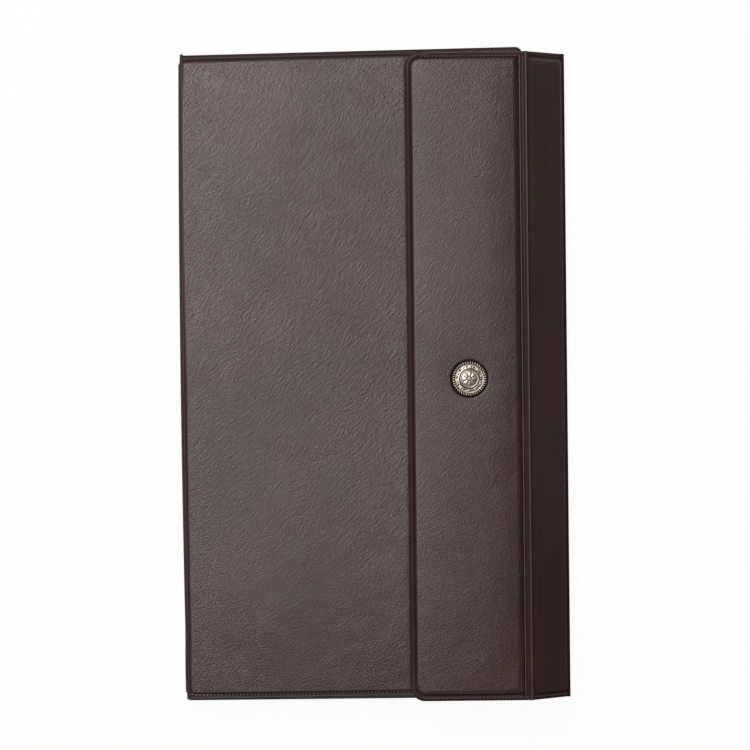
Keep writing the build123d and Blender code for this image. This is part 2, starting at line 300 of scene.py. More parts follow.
def leatherette(name, hide, weld_and_shade_tone, grain, crease, gloss, sheen):
    """Pressed vinyl hide: pebbles, oblique streaks and creases, fine pores.
    It is dark and smooth where the weld mark is 1, and creased where the crumple mark is high. The weld mark
    also carries painted shade, and where it is low, painted highlights."""
    material, tree = finish_named(name)
    place = add(tree, "ShaderNodeTexCoord").outputs["Object"]
    drift = add(tree, "ShaderNodeTexNoise", {"Vector": place, "Scale": 70.0, "Detail": 2.0})
    drift = add(
        tree,
        "ShaderNodeVectorMath",
        {0: drift.outputs["Color"], 1: (0.5, 0.5, 0.5)},
        operation="SUBTRACT",
    ).outputs[0]
    drift = scaled(tree, drift, 0.006)
    bent = add(tree, "ShaderNodeVectorMath", {0: place, 1: drift}, operation="ADD").outputs[0]

    def stretched(turn, share):
        return add(
            tree,
            "ShaderNodeMapping",
            {"Vector": bent, "Rotation": (0, 0, math.radians(turn)), "Scale": (share, 1.0, 1.0)},
            vector_type="TEXTURE",
        ).outputs[0]

    cells = add(
        tree,
        "ShaderNodeTexVoronoi",
        {"Vector": stretched(55, 1.4), "Scale": 1350.0, "Randomness": 1.0},
        feature="DISTANCE_TO_EDGE",
    )
    pebble = remap(tree, cells.outputs["Distance"], (0.0, 0.22), interpolation_type="SMOOTHSTEP")
    streaks = cloud(tree, stretched(50, 3.0), 1350.0, 5.0, Roughness=0.68)

    def creases(turn, share, scale, width):
        middle = maths(tree, "SUBTRACT", cloud(tree, stretched(turn, share), scale, 2.0), 0.5)
        spread = maths(tree, "ABSOLUTE", middle)
        return remap(tree, spread, (0.0, width), interpolation_type="SMOOTHSTEP")

    short = creases(60, 2.4, 620.0, 0.08)
    long = creases(48, 3.2, 400.0, 0.04)
    pores = cloud(tree, place, 3600.0, 2.0)
    broad = cloud(tree, place, 26.0, 3.0)
    crumple = add(tree, "ShaderNodeAttribute", attribute_name="crumple").outputs["Fac"]
    weld = add(tree, "ShaderNodeAttribute", attribute_name="weld").outputs["Fac"]
    strokes = maths(tree, "MULTIPLY_ADD", crumple, 0.9, 0.18)

    def weighted(height, amount, mask=None):
        part = maths(tree, "MULTIPLY", height, amount)
        return part if mask is None else maths(tree, "MULTIPLY", part, mask)

    def total(*heights):
        sum_so_far = heights[0]
        for height in heights[1:]:
            sum_so_far = maths(tree, "ADD", sum_so_far, height)
        return sum_so_far

    relief = total(
        weighted(pebble, 1.0 * grain),
        weighted(streaks, 8.5 * grain, strokes),
        weighted(short, 0.6 * crease, crumple),
        weighted(long, 1.2 * crease, crumple),
        weighted(pores, 0.5 * grain),
    )
    relief = maths(tree, "MULTIPLY", relief, maths(tree, "SUBTRACT", 1.0, weld))
    bump = add(tree, "ShaderNodeBump", {"Height": relief, "Strength": 1.0, "Distance": 0.00004})
    shade = remap(tree, broad, (0.3, 0.7), (0.86, 1.14))
    # The pebbles' valleys are darkened in the colour: painted shade.
    valley_shade = remap(tree, pebble, (0.0, 1.0), (0.88, 1.04))
    skin = scaled(tree, hide, maths(tree, "MULTIPLY", shade, valley_shade))
    # Towards the weld tone: the weld's own colour, and painted shade wherever a piece raises its weld mark
    # for shade.
    colour = mixed(tree, weld, skin, (*weld_and_shade_tone, 1))
    dull = remap(tree, broad, (0.3, 0.7), (gloss + 0.04, gloss - 0.03))
    deep = remap(tree, pebble, (0.0, 1.0), (0.06, 0.0))
    rough = maths(tree, "MULTIPLY_ADD", weld, 0.25, maths(tree, "ADD", dull, deep))
    shine = remap(tree, weld, (0.0, 1.0), (sheen, 0.16 * sheen))
    hide_shader = add(
        tree,
        "ShaderNodeBsdfPrincipled",
        {
            "Base Color": colour,
            "Roughness": rough,
            "Normal": bump.outputs[0],
            "IOR": 1.5,
            "Specular IOR Level": shine,
        },
    )
    add(tree, "ShaderNodeOutputMaterial", {"Surface": hide_shader.outputs[0]})
    return material


# The weld colour. The weld mark also lays it on rolled rims, grooves, folds and edges as painted shade.
brown_weld_and_shade = (0.034, 0.0150, 0.0145)
brown_hide = leatherette(
    "brown leatherette",
    (0.056, 0.0255, 0.0240),
    brown_weld_and_shade,
    grain=1.0,
    crease=1.0,
    gloss=0.37,
    sheen=0.84,
)

back_leaf = Leaf((spine_x, 0, low_hinge_z), (1, 0, 0), (0, 0, -1))
back_area = (0.7, 131.6, length)


def pressed_border(inside, free_depth, bead_at):
    """Height and weld mark of a border: a soft free edge, a low bead at bead_at, grooves beside it. The mark
    is lowered on the bead, a painted highlight, and raised in the grooves, painted shade.
    """
    bead = np.exp(-(((free_depth - bead_at) / 0.36) ** 2))
    groove = np.exp(-(((inside + 0.2) / 0.2) ** 2)) + np.exp(-(((free_depth - bead_at + 0.72) / 0.2) ** 2))
    edge = np.sqrt(np.clip(1 - (1 - np.clip(free_depth / 0.32, 0, 1)) ** 2, 0, 1))
    height = (0.36 + 0.13 * bead - 0.11 * groove) * edge
    # Weld mark: lower on the bead for a painted highlight, higher in the grooves for painted shade.
    return height, np.clip(0.88 - 0.3 * bead + 0.1 * groove, 0, 1)


def back_face(x, y):
    """The back's outer face: a board's flat top in a pressed border."""
    inside = depth_in(x, y, (1.1, 130.2, raised_length), (1.5, 1.5))
    free = half_length - np.abs(y)
    height, dark = pressed_border(inside, free, 1.1)
    lift = 1.78 - 0.04 * np.abs(ripple(x, y, 30, 3.1))
    wall = smooth(inside / 1.1)
    shown = np.where(inside > 0, 0.3 + (lift - 0.3) * wall, height)
    # The weld mark runs on up the foot of the board's wall: painted shade there.
    weld = np.where(inside > 0, np.exp(-((inside / 0.3) ** 2)), dark)
    return shown, {"weld": weld, "crumple": 0.35 + 0 * x}


back_fine = (
    [(0.7, 3.6, 0.24), (128.6, 131.6, 0.24)],
    [(-half_length, -107.4, 0.24), (107.4, half_length, 0.24)],
)
back_cover_skin = closed_sheet(
    "back_cover_skin", back_leaf, back_area, (0.5, 0.5), back_face, foot_level, back_fine, (1.6, 1.6)
)
back_cover_skin.data.materials.append(brown_hide)
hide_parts("back_skin")
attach(back_cover_skin, "back_cover")


# Spine.
# A narrow stiffened strip of the same skin, standing between the back and the front.
# It is pressed in a little towards the bottom end, where the hand holds the cover.

spine_leaf = Leaf((spine_x, 0, low_hinge_z), (0, 0, 1), (-1, 0, 0))
weld_width = 2.1
spine_area = (0.7, 5.5, length)
spine_raised = (1.2, 5.0, raised_length)


def spine_face(x, y):
    """The spine's outer face: a low flat strip in a narrow weld."""
    inside = depth_in(x, y, spine_raised, (0.5, 0.5))
    free = half_length - np.abs(y)
    height, dark = pressed_border(inside, free, 1.1)
    height = np.where(free > weld_width, 0.42 - 0.1 * np.exp(-((inside / 0.2) ** 2)), height)
    wall = smooth(inside / 0.8)
    shown = np.where(inside > 0, height + (1.08 - height) * wall, height)
    # The strip carries the weld mark at 0.45, and it rises at the foot as painted shade.
    weld = np.where(inside > 0, 0.45 + 0.5 * np.exp(-((inside / 0.4) ** 2)), dark)
    return shown, {"weld": weld, "crumple": 0.2 + 0 * x}


spine_stiffener = closed_sheet(
    "spine_stiffener",
    spine_leaf,
    (2.2, 4.0, 216.3),
    (0.25, 0.25),
    lambda x, y: (0.4 + 0 * x, {}),
    foot_level,
    ([], []),
    (0.6, 4.0),
    raised=True,
)
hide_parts("spine_board")
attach(spine_stiffener, "spine")

spine_strip = closed_sheet(
    "spine_strip",
    spine_leaf,
    spine_area,
    (0.3, 0.3),
    spine_face,
    foot_level,
    ([(0.7, 5.5, 0.24)], [(-half_length, -108, 0.24), (108, half_length, 0.24)]),
    (0.5, 1.4),
    raised=True,
)
spine_strip.data.materials.append(brown_hide)
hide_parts("spine_skin")
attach(spine_strip, "spine")


# Front cover.
# A board with a thin foam pad under the skin, so it is softly crowned and rolls into the weld.
# The hide is creased most beside the flap, whose edge has pressed a low step into the padding.
# A bowl under the flap takes the snap's stud.

front_z = 8.0
front_leaf = Leaf((spine_x, 0, front_z), (1, 0, 0), (0, 0, 1))
front_area = (0.7, 118.1, front_length)
front_raised = (1.2, 116.0, 217.1)
front_corner = 2.7
past_fold = -9
snap_x = 32.6
snap_y = -0.9


def padded_face(x, y, pad, corners, seed, top, crown, roll, border, wave, fade=0.7, soft=0.0):
    """Outer face over foam: crowned, with a rolled rim, small puckers at the weld, slow waves.
    It thins towards the bottom end, and where soft is 1 it eases into the border without a roll. The rolled
    rim carries the weld mark, which paints shade on it."""
    inside = depth_in(x, y, pad, corners)
    height, dark = border
    u = (x - (pad[0] + pad[1]) / 2) / ((pad[1] - pad[0]) / 2)
    v = y / (pad[2] / 2)
    arch = top - crown * np.abs(u) ** 2.3 - 0.3 * np.abs(v) ** 8
    arch = arch - 0.7 * np.clip(-(v + 0.6) / 0.4, 0, 1) ** 2
    arch = arch + wave * ripple(x, y, 17, seed) + 0.35 * wave * ripple(x, y, 6.5, seed + 5)
    pucker = ripple(x, y, 2.6, seed + 9) * np.exp(-(((inside - 1.6) / 1.6) ** 2))
    t = np.clip(inside / roll, 0, 1)
    rise = np.sqrt(1 - (1 - t) ** 2) * (1 - soft) + smooth(t) * soft
    foot = 0.28 + 0.6 * soft
    shown = np.where(inside > 0, foot + (arch - foot) * rise + 0.035 * pucker, height)
    # The rolled rim is marked as weld, dark and dull: painted shade.
    weld = np.where(inside > 0, 1 - smooth((inside - 0.26) / fade), dark)
    return shown, weld


def bowl(x, y, shown, floor, low, steep, wide):
    """Presses a round bowl with a flat floor into a face, at the snap: steep at the metal, then slow."""
    off = np.maximum(np.hypot(x, y) - floor, 0)
    share = 0.8 * np.exp(-((off / steep) ** 2)) + 0.2 * np.exp(-((off / wide) ** 2))
    return shown + (low - shown) * share


def front_face(x, y):
    """The front's outer face."""
    outline = (past_fold, 118.1, front_length)
    free = depth_in(x, y, outline, (front_corner, front_corner))
    free = np.minimum(front_half_length - np.abs(y), free)
    inside = depth_in(x, y, front_raised, (1.5, 1.5))
    height, dark = pressed_border(inside, free, 1.25)
    plain = np.where(np.abs(y) < 108.5, 0.42 - 0.12 * np.exp(-((inside / 0.25) ** 2)), height)
    # Below y = -109 the mark is lowered: a painted highlight along the bottom edge.
    border = (np.where(x < 3, plain, height), dark - 0.4 * smooth((-y - 109.0) / 0.3))
    roll = 1.0 - 0.4 * smooth((-y - 30) / 60)
    shown, weld = padded_face(x, y, front_raised, (1.5, 1.5), 1.7, 3.0, 0.62, roll, border, 0.07)
    shown = shown - 0.3 * smooth((x - 76.9) / 1.2) * smooth(inside / 2)
    shown = bowl(x + spine_x - snap_x, y + slip(x, y) - snap_y, shown, 4.5, 1.72, 1.2, 4.0)
    near = np.exp(-(((x - 64) / 38) ** 2) - (((y - 32) / 58) ** 2))
    return shown, {"weld": weld, "crumple": 0.04 + 0.5 * smooth((y + 95) / 75) + 0.5 * near}


front_pad = closed_sheet(
    "front_pad",
    front_leaf,
    front_area,
    (0.5, front_corner),
    front_face,
    foot_level,
    (
        [(0.7, 3.8, 0.2), (113.2, 118.1, 0.2), (76.7, 78.3, 0.2), (88, 109, 0.6)],
        [(-front_half_length, -106.4, 0.2), (106.4, front_half_length, 0.2), (-12, 10, 0.6)],
    ),
    (1.0, 1.0),
    raised=True,
)
front_pad.data.materials.append(brown_hide)
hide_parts("front_skin", "front_foam")
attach(front_pad, "front_cover")


# Gusset.
# The sloping strip on the right, almost smooth, that spans the book's thickness.
# A board between its skin and its lining keeps it straight.

gusset_x = 66.4
slope_run = 0.7795
slope_rise = 0.6265
gusset_leaf = Leaf((gusset_x, 0, low_hinge_z), (-slope_run, 0, slope_rise), (slope_rise, 0, slope_run))
gusset_start = 0.9
gusset_span = 16.62


def gusset_face(x, y):
    """The gusset's outer face: stiff and flush from side to side, welded at its two ends. Its mark paints
    shade along its edge at the back's fold, and is lighter towards the top end and darker towards the bottom
    end: painted light and shade.
    """
    side = np.minimum(x - gusset_start, 0.5 * (gusset_span - x))
    free = half_length - np.abs(y)
    height, dark = pressed_border(free - weld_width, free, 1.1)
    lift = 0.5 + 0.58 * smooth((side + 0.1) / 1.5) + 0.02 * ripple(x, y, 12, 8.3)
    shown = height + (lift - height) * smooth((free - 1.9) / 1.5)
    ends = 1 - smooth((free - 1.9) / 0.5)
    # edge: painted shade along the side at the back's fold, and a painted gradient, lighter towards the top
    # end and darker towards the bottom end.
    edge = 0.5 * (1 - smooth((x - 1.0) / 1.3)) - 0.3 * smooth((y - 5) / 90) + 0.15 * smooth((-y - 20) / 60)
    return shown, {"weld": np.clip(0.5 + 0.5 * ends - 0.4 * (1 - dark) + edge, 0, 1), "crumple": 0 * x}


smooth_hide = leatherette(
    "smooth leatherette",
    (0.068, 0.0330, 0.0315),
    (0.042, 0.0165, 0.0155),
    grain=0.25,
    crease=0.15,
    gloss=0.4,
    sheen=0.34,
)
gusset_strip = closed_sheet(
    "gusset_strip",
    gusset_leaf,
    (gusset_start, gusset_span, length),
    (0.3, 0.3),
    gusset_face,
    foot_level,
    ([(0.7, gusset_span, 0.3)], [(-half_length, -107.6, 0.22), (107.6, half_length, 0.22)]),
    (0.5, 1.4),
    raised=None,
)
gusset_strip.data.materials.append(smooth_hide)
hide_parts("gusset_skin")
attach(gusset_strip, "gusset")


# Flap.
# Padded like the front, with rounded free corners, and pressed down round the snap's cap.
# Next to the ridge its border carries two beads, one from the weld and one beside the fold. Their marks paint
# highlights on them, and the free side's edge carries painted shade.

ridge_x = 52.9
ridge_z = 12.65
flap_leaf = Leaf((ridge_x, 0, ridge_z), (-1, 0, 0), (0, 0, 1))
flap_area = (0.7, 41.3, length)
raised_half = raised_length / 2
flap_corner = 4.8


def flap_face(x, y):
    """The flap's outer face."""
    free = depth_in(x, y, (past_fold, 41.3, length), (flap_corner, flap_corner))
    free = np.minimum(half_length - np.abs(y), free)
    top_end = smooth(y / 40)
    pad = (2.8, 39.6, raised_length)
    low_end = 1 - smooth((y + raised_half) / 8)
    roll = 1.1 + 0.7 * low_end + (0.5 + low_end) * (1 - smooth((x - 2.8) / 8))
    fold = 1 - smooth((x - 2.8) / 2.5)
    top = 2.72 - 0.6 * np.clip(1 - (x - 2.8) / 12, 0, 1) ** 2 * smooth((raised_half - np.abs(y)) / 14)
    inside = depth_in(x, y, pad, (1.5, 3.4))
    bead_at = 0.95 + 0.2 * smooth((x - 36) / 3) + 0.65 * top_end * smooth((36 - x) / 4)
    height, dark = pressed_border(inside, free, bead_at)
    # lip: a painted highlight along the free edge at the top end.
    lip = np.exp(-(((free - 0.42) / 0.25) ** 2)) * top_end * smooth((37 - x) / 3)
    ends = smooth((np.abs(y) - 100) / 5)
    # Away from the ends the free side's border is pushed to full weld: painted shade along the flap's edge.
    dark = np.clip(dark - 0.7 * lip + 0.6 * (1 - ends) * (1 - dark), 0, 1)
    # The fold side's bead and thin line are left unmarked: painted highlights, the line only towards the top.
    bead = np.exp(-(((x - 1.95) / 0.24) ** 2))
    line = np.exp(-(((x - 0.95) / 0.14) ** 2)) * smooth((y - 10) / 60)
    fold_side = 0.38 + 0.17 * bead + 0.1 * line + 0.5 * smooth((x - 2.1) / 0.7)
    at_fold = (x < 2.8) & (free > 1.6)
    fold_shade_and_highlight = np.clip(0.92 - 0.8 * bead - 0.6 * line, 0, 1)
    border = (np.where(at_fold, fold_side, height), np.where(at_fold, fold_shade_and_highlight, dark))
    shown, weld = padded_face(x, y, pad, (1.5, 3.4), 4.4, top, 0.76, roll, border, 0.05, 0.45, fold)
    shown = bowl(ridge_x - x - snap_x, y - snap_y, shown, 6.0, 1.79, 0.42, 4.5)
    return shown, {"weld": weld, "crumple": 0.2 + 0.3 * smooth((y + 60) / 90)}


flap_pad = closed_sheet(
    "flap_pad",
    flap_leaf,
    flap_area,
    (0.5, flap_corner),
    flap_face,
    foot_level,
    (
        [(0.7, 5.0, 0.16), (36.4, 41.3, 0.18), (10, 31, 0.3)],
        [(-half_length, -107, 0.2), (107, half_length, 0.2), (-11.5, 9.7, 0.3)],
    ),
    (0.8, 1.0),
    raised=None,
)
flap_hide = leatherette(
    "flap leatherette",
    (0.054, 0.0245, 0.0230),
    brown_weld_and_shade,
    grain=0.8,
    crease=0.5,
    gloss=0.38,
    sheen=0.69,
)
flap_pad.data.materials.append(flap_hide)
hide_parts("flap_skin", "flap_foam")
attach(flap_pad, "flap")


# Folds.
# Between two panels the skin and the lining run on as one bare web, which bends as a hinge.
# The web between gusset and flap is the light ridge that runs down the closed cover.


web_half = 0.43
web_reach = 0.75
bend_steps = 15


def fold_web(
    name, hinge, a, b, out_a, out_b, long, raised, lip, hide, reach=(0.45, web_reach), crest=0.36
):
    """A web from leaf a to leaf b round a hinge line, with a low lip that carries a painted highlight at
    crest.
    It is laid down with the cover afterwards."""
    back_of_b, reach_b = reach
    hinge, a, b, out_a, out_b = (np.array(pair, float) for pair in (hinge, a, b, out_a, out_b))
    ends_a = (web_reach * a + web_half * out_a, web_reach * a - 0.45 * out_a)
    ends_b = (reach_b * b + web_half * out_b, reach_b * b - back_of_b * out_b)
    first = math.atan2(out_a[1], out_a[0])
    sweep = (math.atan2(out_b[1], out_b[0]) - first + math.pi) % (2 * math.pi) - math.pi
    ring = [ends_a[0]]
    along = np.concatenate((np.linspace(-web_half * abs(sweep), 0, bend_steps), np.linspace(0.06, 0.66, 9)))
    lips = lip * np.exp(-(((along - crest + 0.16) / 0.22) ** 2))
    for k in range(bend_steps):
        share = k / (bend_steps - 1)
        angle = first + sweep * share
        radius = web_half + 0.08 * math.sin(math.pi * share) + lips[k] * smooth(k / 6)
        ring.append(radius * np.array((math.cos(angle), math.sin(angle))))
    ring += [d * b + (web_half + h) * out_b for d, h in zip(along[bend_steps:], lips[bend_steps:])]
    ring += [ends_b[0], ends_b[1], 0.5 * (ends_b[1] + ends_a[1]), ends_a[1]]
    ring = np.array(ring) + hinge
    ys = np.linspace(-long / 2, long / 2, 90)
    points = np.array([[(x, y, z) for x, z in ring] for y in ys])
    points[..., 2] += 0.015 * np.sin(ys / 7.3)[:, None]
    m, n = points.shape[:2]
    faces = []
    for i in range(m - 1):
        for k in range(n):
            after = (k + 1) % n
            faces.append((i * n + k, i * n + after, (i + 1) * n + after, (i + 1) * n + k))
    faces += [tuple(range(n - 1, -1, -1)), tuple(range((m - 1) * n, m * n))]
    mesh = bpy.data.meshes.new(name)
    mesh.from_pydata((points.reshape(-1, 3) / 1000).tolist(), [], faces)
    shape = bmesh.new()
    shape.from_mesh(mesh)
    bmesh.ops.recalc_face_normals(shape, faces=shape.faces)
    shape.to_mesh(mesh)
    shape.free()
    # The web is marked as weld, dark and dull, except along the crest of a lip above 0.1: a painted
    # highlight.
    marks = np.full(n, 0.95)
    marks[1 : 1 + len(along)] -= 0.95 * np.exp(-(((along - crest) / 0.17) ** 2)) * (lip > 0.1)
    set_mark(mesh, "weld", np.tile(marks, m))
    mesh.shade_smooth()
    mesh.set_sharp_from_angle(angle=math.radians(60))
    web = placed(name, mesh)
    web.data.materials.append(hide)
    lean = (b - a) / np.linalg.norm(b - a) if back_of_b > 0.1 else np.array((0.3, 0.954))
    start = max(lean @ end for end in ends_a) + 0.02
    stop = min(lean @ end for end in ends_b) - 0.02
    spots = [hinge + lean * at for at in (start, stop)]
    spots = [(x / 1000, 0, z / 1000) for x, z in spots]
    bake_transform(web)
    if raised is not None:
        laid = settle(points, raised) / 1000
        mesh.vertices.foreach_set("co", laid.astype(np.float32).ravel())
        mesh.update()
    return web


back_spine_web = fold_web(
    "back_spine_web",
    (spine_x, low_hinge_z),
    (1, 0),
    (0, 1),
    (0, -1),
    (-1, 0),
    length,
    raised=False,
    lip=0.04,
    hide=brown_hide,
)
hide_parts("back_spine_fold")
spine_front_web = fold_web(
    "spine_front_web",
    (spine_x, front_z),
    (0, -1),
    (1, 0),
    (-1, 0),
    (0, 1),
    221.8,
    raised=True,
    lip=0.12,
    hide=brown_hide,
)
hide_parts("front_spine_fold")
back_gusset_web = fold_web(
    "back_gusset_web",
    (gusset_x, low_hinge_z),
    (-1, 0),
    (-slope_run, slope_rise),
    (0, -1),
    (slope_rise, slope_run),
    length,
    raised=None,
    lip=0.0,
    hide=smooth_hide,
    reach=(0.05, 0.92),
)
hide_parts("back_gusset_fold")
ridge_web = fold_web(
    "ridge_web",
    (ridge_x, ridge_z),
    (slope_run, -slope_rise),
    (-1, 0),
    (slope_rise, slope_run),
    (0, 1),
    length,
    raised=None,
    lip=0.2,
    hide=brown_hide,
    crest=-0.12,
)
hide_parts("flap_gusset_fold")


# Linings.
# A thinner, smooth sheet with a faint woven emboss closes each panel on the inside.
# The weld shows there as a groove round the board.


def lining_cloth(name, tone):
    """Thin coated sheet, embossed with a fine weave."""
    material, tree = finish_named(name)
    place = add(tree, "ShaderNodeTexCoord").outputs["Object"]
    weave = []
    for direction in ("X", "Y"):
        wave = add(
            tree,
            "ShaderNodeTexWave",
            {"Vector": place, "Scale": 420.0, "Distortion": 0.6, "Detail": 2.0},
            bands_direction=direction,
        )
        weave.append(wave.outputs["Fac"])
    both = maths(tree, "MAXIMUM", *weave)
    haze = cloud(tree, place, 45.0, 4.0)
    bump = add(tree, "ShaderNodeBump", {"Height": both, "Strength": 0.8, "Distance": 0.00003})
    threads = remap(tree, both, (0.0, 1.0), (0.8, 1.08))
    light = maths(tree, "MULTIPLY", remap(tree, haze, (0.3, 0.7), (0.93, 1.07)), threads)
    colour = scaled(tree, tone, light)
    rough = remap(tree, haze, (0.3, 0.7), (0.36, 0.48))
    shader = add(
        tree,
        "ShaderNodeBsdfPrincipled",
        {"Base Color": colour, "Roughness": rough, "Normal": bump.outputs[0], "IOR": 1.5},
    )
    add(tree, "ShaderNodeOutputMaterial", {"Surface": shader.outputs[0]})
    return material


dark_lining = lining_cloth("dark lining", (0.165, 0.148, 0.165))


lining_level = -0.45


def lining(name, leaf, area, corners, pad, pad_corners, node_name, body, raised):
    """One panel's lining, pressed into its weld."""
    low, high, half = area[0], area[1], area[2] / 2

    def face(x, y):
        groove = np.exp(-((depth_in(x, y, pad, pad_corners) / 0.3) ** 2))
        edge = np.exp(-(((half - np.abs(y)) / 0.18) ** 2))
        return lining_level + 0.16 * groove + 0.14 * edge + 0.012 * ripple(x, y, 14, high), {}

    fine = (
        [(low, low + 2.6, 0.3), (high - 2.6, high, 0.3)],
        [(-half, 2.6 - half, 0.3), (half - 2.6, half, 0.3)],
    )
    piece = closed_sheet(name, leaf, area, corners, face, foot_level, fine, (3.0, 3.0), raised)
    piece.data.materials.append(dark_lining)
    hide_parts(node_name)
    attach(piece, body)
    return piece


back_inner = lining(
    "back_inner_sheet",
    back_leaf,
    back_area,
    (0.5, 0.5),
    (2.1, 130.2, raised_length),
    (1.5, 1.5),
    "back_lining",
    "back_cover",
    raised=False,
)
spine_inner = lining(
    "spine_inner_sheet",
    spine_leaf,
    spine_area,
    (0.3, 0.3),
    spine_raised,
    (0.5, 0.5),
    "spine_lining",
    "spine",
    raised=True,
)
front_inner = lining(
    "front_inner_sheet",
    front_leaf,
    front_area,
    (0.5, front_corner),
    front_raised,
    (1.5, 1.5),
    "front_lining",
    "front_cover",
    raised=True,
)
gusset_inner = lining(
    "gusset_inner_sheet",
    gusset_leaf,
    (1.62, gusset_span, length),
    (0.3, 0.3),
    (2.4, 15.32, raised_length),
    (1.5, 1.5),
    "gusset_lining",
    "gusset",
    raised=None,
)
flap_inner = lining(
    "flap_inner_sheet",
    flap_leaf,
    flap_area,
    (0.5, flap_corner),
    (2.8, 39.2, raised_length),
    (1.5, 3.4),
    "flap_lining",
    "flap",
    raised=None,
)


# Pockets.
# A sheet on each cover's lining, welded on three sides, with a thumb notch in its open mouth.
# The back one takes the book's last leaf, and the front one slips of paper.


notch_radius = 14.0


def notch(along):
    """Depth of the thumb notch at a distance from its middle."""
    return np.sqrt(np.maximum(notch_radius**2 - along**2, 0))


def notch_rows(middle, reach):
    """Closer mesh rows across a notch, closest at its two ends, which lie at reach from its middle."""
    ends = [(middle + at - 1.5, middle + at + 1.5, 0.25) for at in (-reach, reach)]
    return [*ends, (middle - reach + 1.5, middle + reach - 1.5, 0.8)]


def pocket_face(x, y, edges):
    """The pocket's shown face, with its weld on three sides and a turned hem at the mouth."""
    inside = np.min(edges, axis=0)
    groove = np.exp(-(((inside - 1.1) / 0.3) ** 2))
    edge = np.exp(-((inside / 0.2) ** 2))
    return -0.85 + 0.2 * groove + 0.12 * edge + 0.02 * ripple(x, y, 20, 4.4), {}


back_pocket_left = 7
back_pocket_right = 125.3
back_pocket_middle = 66.15
back_pocket_deep = 150
back_pocket_up = 34.15


def back_pocket_face(x, y):
    """The back pocket's shown face."""
    return pocket_face(x, y, [x - back_pocket_left, back_pocket_right - x, raised_half - y])


def back_pocket_mouth(x, y):
    """Moves the sheet up to its place and draws its lower edge into the notch."""
    pull = notch(x - back_pocket_middle) * (back_pocket_deep / 2 - y) / back_pocket_deep
    return x, y + back_pocket_up + pull


back_pocket_sheet = closed_sheet(
    "back_pocket_sheet",
    back_leaf,
    (back_pocket_left, back_pocket_right, back_pocket_deep),
    (1.5, 1.5),
    back_pocket_face,
    lining_level,
    (
        [
            (back_pocket_left, 9.4, 0.3),
            (122.9, back_pocket_right, 0.3),
            *notch_rows(back_pocket_middle, 13.25),
        ],
        [(72.4, 75, 0.3)],
    ),
    (3.0, 3.0),
    raised=False,
    laid=back_pocket_mouth,
)
back_pocket_sheet.data.materials.append(dark_lining)
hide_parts("back_pocket")
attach(back_pocket_sheet, "back_cover")


front_pocket_mouth = 58.1
front_pocket_right = 113.1
front_pocket_length = 211.3
front_pocket_half = front_pocket_length / 2


def front_pocket_face(x, y):
    """The front pocket's shown face."""
    return pocket_face(x, y, [front_pocket_right - x, front_pocket_half - np.abs(y)])


def front_pocket_notch(x, y):
    """Draws the sheet's free edge into the notch."""
    wide = front_pocket_right - front_pocket_mouth
    return x + notch(y) * (front_pocket_right - x) / wide, y


front_pocket_sheet = closed_sheet(
    "front_pocket_sheet",
    front_leaf,
    (front_pocket_mouth, front_pocket_right, front_pocket_length),
    (1.5, 1.5),
    front_pocket_face,
    lining_level,
    (
        [(110.6, front_pocket_right, 0.3)],
        [(-front_pocket_half, -103.2, 0.3), (103.2, front_pocket_half, 0.3), *notch_rows(0, 13.1)],
    ),
    (3.0, 3.0),
    raised=True,
    laid=front_pocket_notch,
)
front_pocket_sheet.data.materials.append(dark_lining)
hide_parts("front_pocket")
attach(front_pocket_sheet, "front_cover")


# Boards.
# Grey pasteboard, cut to size, sealed inside the panels between skin and lining.

greyboard, tree = finish_named("greyboard")
place = add(tree, "ShaderNodeTexCoord").outputs["Object"]
flecks = cloud(tree, place, 900.0, 4.0)
drawn_out = add(tree, "ShaderNodeMapping", {"Vector": place, "Scale": (1, 6, 1)}).outputs[0]
fibres = cloud(tree, drawn_out, 260.0, 3.0)
both = maths(tree, "MULTIPLY", flecks, fibres)
colour = scaled(tree, (0.25, 0.235, 0.21), remap(tree, both, (0.1, 0.45), (0.75, 1.2)))
bump = add(tree, "ShaderNodeBump", {"Height": both, "Strength": 0.6, "Distance": 0.00005})
pulp = add(
    tree,
    "ShaderNodeBsdfPrincipled",
    {"Base Color": colour, "Roughness": 0.9, "Normal": bump.outputs[0]},
)
add(tree, "ShaderNodeOutputMaterial", {"Surface": pulp.outputs[0]})


def coat(names, material):
    """Gives solids of the frame a material."""
    for name in names:
        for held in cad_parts[name].material_slots:
            held.material = material


coat(("back_board", "front_board", "gusset_board", "flap_board"), greyboard)
spine_stiffener.data.materials.append(greyboard)


# Pressed stitches.
# The welding die imitates a row of stitches in the border: small raised beads, no thread.
# The flap has them at its top and bottom, the front and the gusset at the bottom.


def socket(tree, name, kind, way="INPUT"):
    """A socket of a node group, which takes a value or gives the result."""
    return tree.interface.new_socket(name, in_out=way, socket_type="NodeSocket" + kind)


def give_pieces(tree, pieces, material):
    """Ends a node group: real, smooth pieces in one material."""
    real = add(tree, "GeometryNodeRealizeInstances", {"Geometry": pieces})
    even = add(tree, "GeometryNodeSetShadeSmooth", {"Geometry": real.outputs[0]})
    faced = add(tree, "GeometryNodeSetMaterial", {"Geometry": even.outputs[0], "Material": material})
    add(tree, "NodeGroupOutput", {0: faced.outputs[0]})


